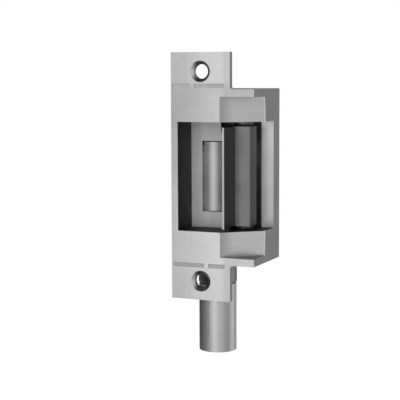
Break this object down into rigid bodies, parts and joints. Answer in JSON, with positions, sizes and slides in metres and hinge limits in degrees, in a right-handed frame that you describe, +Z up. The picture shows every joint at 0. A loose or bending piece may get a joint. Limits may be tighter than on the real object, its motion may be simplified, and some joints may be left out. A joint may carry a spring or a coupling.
{
  "type": "electric door strike",
  "caption": "Electric door strike: cast face plate with ramped lip, swinging keeper, latch monitor bar in the pocket and a round solenoid below.",
  "frame": {"origin": "middle of the two mounting holes, in the plane of the rear face of the tabs", "axes": "+X across the face plate towards the lip, +Y into the door frame, +Z up towards the tab away from the solenoid"},
  "size_m": [0.0445, 0.0365, 0.1529],
  "materials": {
    "satin_stainless": "satin brushed cast stainless steel",
    "keeper_steel": "machined stainless steel, fine milling marks",
    "liner_steel": "rolled stainless sheet, dull",
    "monitor_steel": "bright rolled steel",
    "tube_steel": "turned and bright plated steel",
    "zinc_plate": "zinc plated sheet steel",
    "screw_steel": "plated steel fasteners",
    "ground_steel": "ground steel pin",
    "spring_steel": "dark spring wire",
    "slide_steel": "sintered steel",
    "plunger_iron": "nickel plated soft iron",
    "guide_brass": "machined brass",
    "bronze": "oil filled sintered bronze",
    "coil_copper": "enamelled copper winding",
    "switch_plastic": "black glass filled plastic",
    "button_plastic": "red moulded plastic",
    "bobbin_nylon": "natural nylon",
    "black_rubber": "black rubber"
  },
  "bodies": {
    "housing": {"strike_body": "satin_stainless", "rear_cover": "zinc_plate", "cover_screws": "screw_steel", "pocket_liner": "liner_steel", "liner_screws": "screw_steel", "keeper_pin": "ground_steel", "thrust_washers": "liner_steel", "keeper_spring": "spring_steel", "monitor_pivot_pin": "ground_steel", "monitor_spring": "spring_steel", "latch_switch": "switch_plastic", "switch_bracket": "zinc_plate", "latch_switch_screws": "screw_steel", "slide_guide_left": "guide_brass", "slide_guide_right": "guide_brass", "mechanism_screws": "screw_steel", "lock_switch": "switch_plastic", "lock_switch_screws": "screw_steel", "plunger_spring": "spring_steel", "fixed_pole": "plunger_iron", "solenoid_collar": "tube_steel", "solenoid_tube": "tube_steel", "coil_bobbin": "bobbin_nylon", "coil_winding": "coil_copper", "plunger_buffer": "black_rubber", "tube_end_cap": "tube_steel", "wire_grommet": "black_rubber"},
    "keeper_body": {"keeper": "keeper_steel", "keeper_bushes": "bronze"},
    "monitor": {"latch_monitor_bar": "monitor_steel"},
    "latch_button": {"latch_switch_button": "button_plastic"},
    "lock": {"lock_slide": "slide_steel", "push_rod": "ground_steel", "rod_locknut": "screw_steel", "plunger": "plunger_iron"},
    "lock_button": {"lock_switch_button": "button_plastic"}
  },
  "joints": [
    {"name": "keeper_swing", "type": "hinge", "parent": "housing", "child": "keeper_body", "pos_m": [0.0145, 0.0188, 0], "axis": [0, 0, 1], "range_deg": [0, 84], "stiffness_Nm_per_rad": 0.03, "springref_deg": -22.92},
    {"name": "latch_monitor_press", "type": "hinge", "parent": "housing", "child": "monitor", "pos_m": [-0.009, 0.0183, 0], "axis": [0, 0, 1], "range_deg": [0, 12], "stiffness_Nm_per_rad": 0.02, "springref_deg": -17.19},
    {"name": "latch_button_press", "type": "slide", "parent": "housing", "child": "latch_button", "axis": [0, 1, 0], "range_m": [0, 0.0015]},
    {"name": "lock_travel", "type": "slide", "parent": "housing", "child": "lock", "axis": [0, 0, 1], "range_m": [0, 0.005], "stiffness_N_per_m": 120, "springref_m": -0.006, "deforming": ["plunger_spring"]},
    {"name": "lock_button_press", "type": "slide", "parent": "housing", "child": "lock_button", "axis": [-1, 0, 0], "range_m": [0, 0.001]}
  ],
  "couplings": [
    {"joint": "latch_button_press", "follows": "latch_monitor_press", "m_per_rad": 0.0068},
    {"joint": "lock_button_press", "follows": "lock_travel", "ratio": 0.2}
  ]
}
